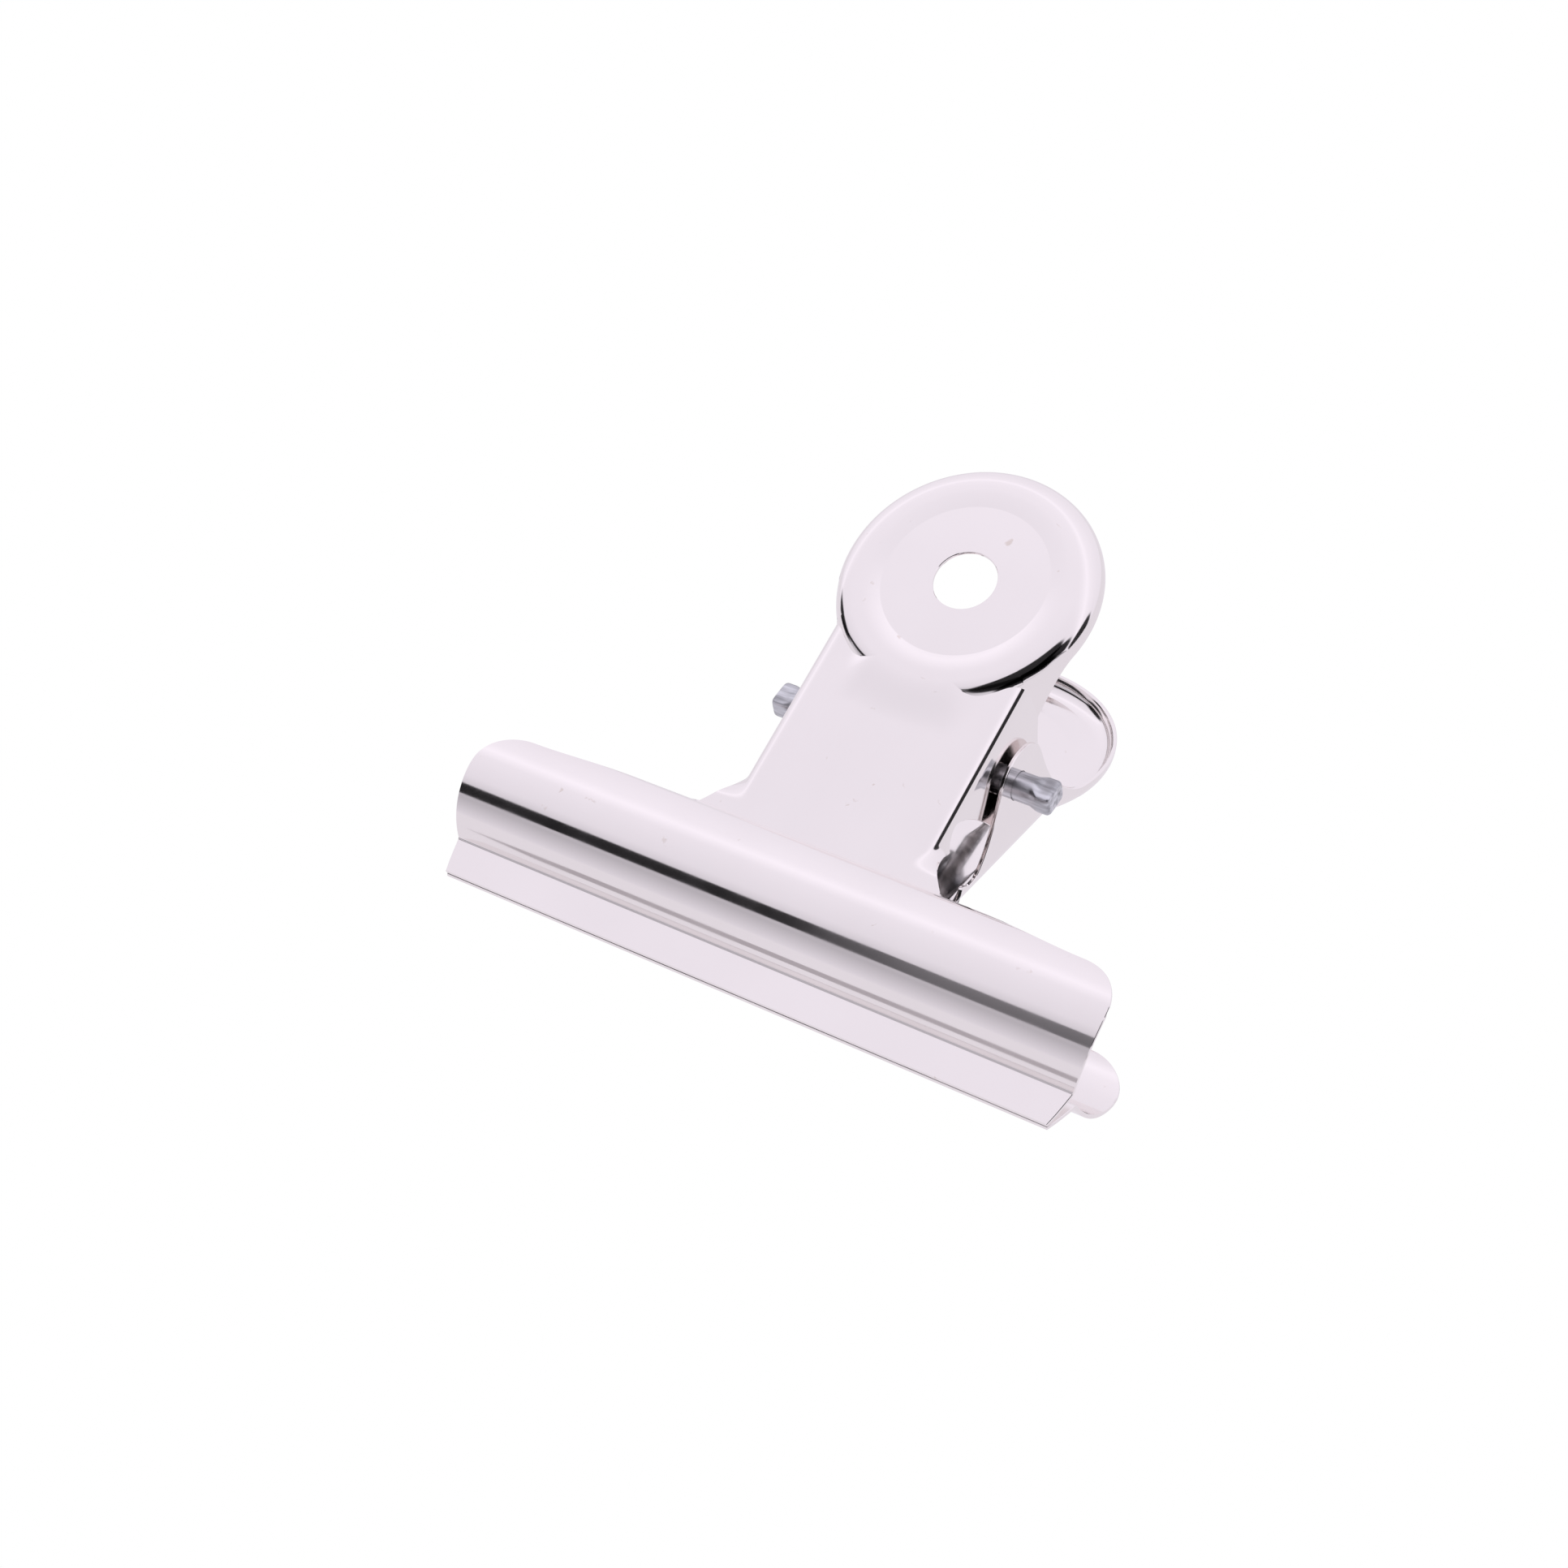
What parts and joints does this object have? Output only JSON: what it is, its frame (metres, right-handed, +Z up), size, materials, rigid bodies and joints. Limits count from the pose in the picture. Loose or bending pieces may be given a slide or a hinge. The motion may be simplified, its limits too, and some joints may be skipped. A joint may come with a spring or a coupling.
{
  "type": "bulldog binder clip",
  "caption": "Spring-loaded sheet-metal binder clip: rounded jaws with flat gripping lips, side ears on a cross pin, and round finger discs with hang holes.",
  "frame": {"origin": "centre of the clip's bounding box, at the floor it lies on, jaws closed", "axes": "+X along the jaws, +Y from the lips towards the finger discs, +Z up, the clip lying on its back plate"},
  "size_m": [0.075, 0.0658, 0.0325],
  "materials": {
    "front_plate": "bright nickel plate, slightly warm",
    "back_plate": "bright nickel plate, slightly warm",
    "pivot_pin": "zinc-plated wire rod, drawn",
    "torsion_spring": "zinc-plated spring wire"
  },
  "bodies": {
    "back": {"back_plate": "back_plate", "torsion_spring": "torsion_spring"},
    "front": {"front_plate": "front_plate"},
    "pin": {"pivot_pin": "pivot_pin"}
  },
  "joints": [
    {"name": "jaw_hinge", "type": "hinge", "parent": "back", "child": "front", "pos_m": [0, 0.00311, 0.01193], "axis": [-1, 0, 0], "range_deg": [0, 48], "stiffness_Nm_per_rad": 0.6, "springref_deg": -57.3, "deforming": ["torsion_spring"]},
    {"name": "pin_spin", "type": "hinge", "parent": "back", "child": "pin", "pos_m": [0, 0.00311, 0.01193], "axis": [1, 0, 0], "continuous": true}
  ]
}
